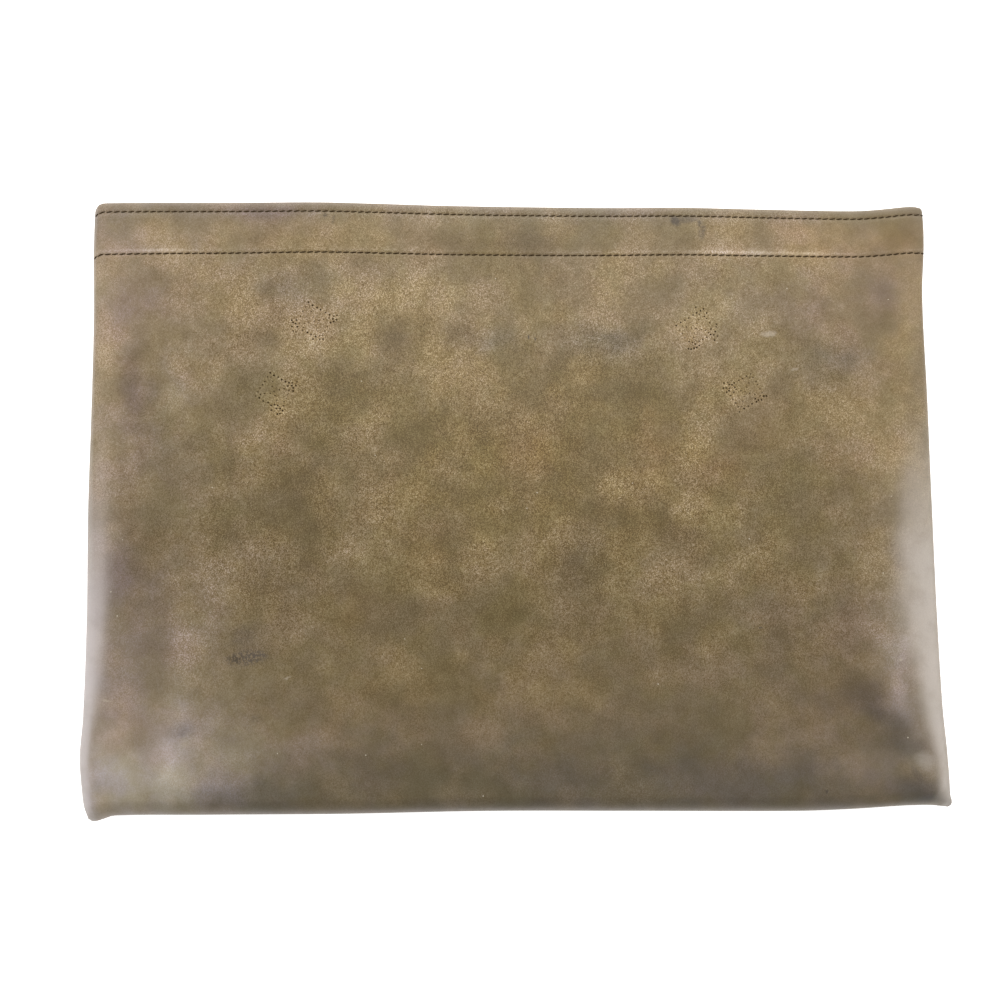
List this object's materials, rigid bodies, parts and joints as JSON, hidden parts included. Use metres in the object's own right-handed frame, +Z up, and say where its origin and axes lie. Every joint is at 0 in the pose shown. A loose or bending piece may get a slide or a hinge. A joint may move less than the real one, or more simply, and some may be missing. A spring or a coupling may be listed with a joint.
{
  "type": "leather document portfolio",
  "caption": "Flat leather document portfolio: an open-mouthed pouch of two sewn panels with a folded, stitched hem along the mouth, lying on its back.",
  "frame": {"origin": "under the middle of the portfolio's box, on the surface that it lies on", "axes": "+X across the pouch, along its mouth; +Y from the foot seam to the mouth; +Z up off the surface that it lies on, out of the front panel"},
  "size_m": [0.3908, 0.28, 0.0151],
  "materials": {
    "front_leather": "antiqued smooth brown leather, satin, mottled olive and tan, worn and greyer along the edges",
    "back_leather": "the same leather, a little darker and scuffed where it lies",
    "thread": "dark brown waxed sewing thread"
  },
  "bodies": {
    "root": {"front_panel": "front_leather", "back_panel": "back_leather"}
  },
  "joints": []
}
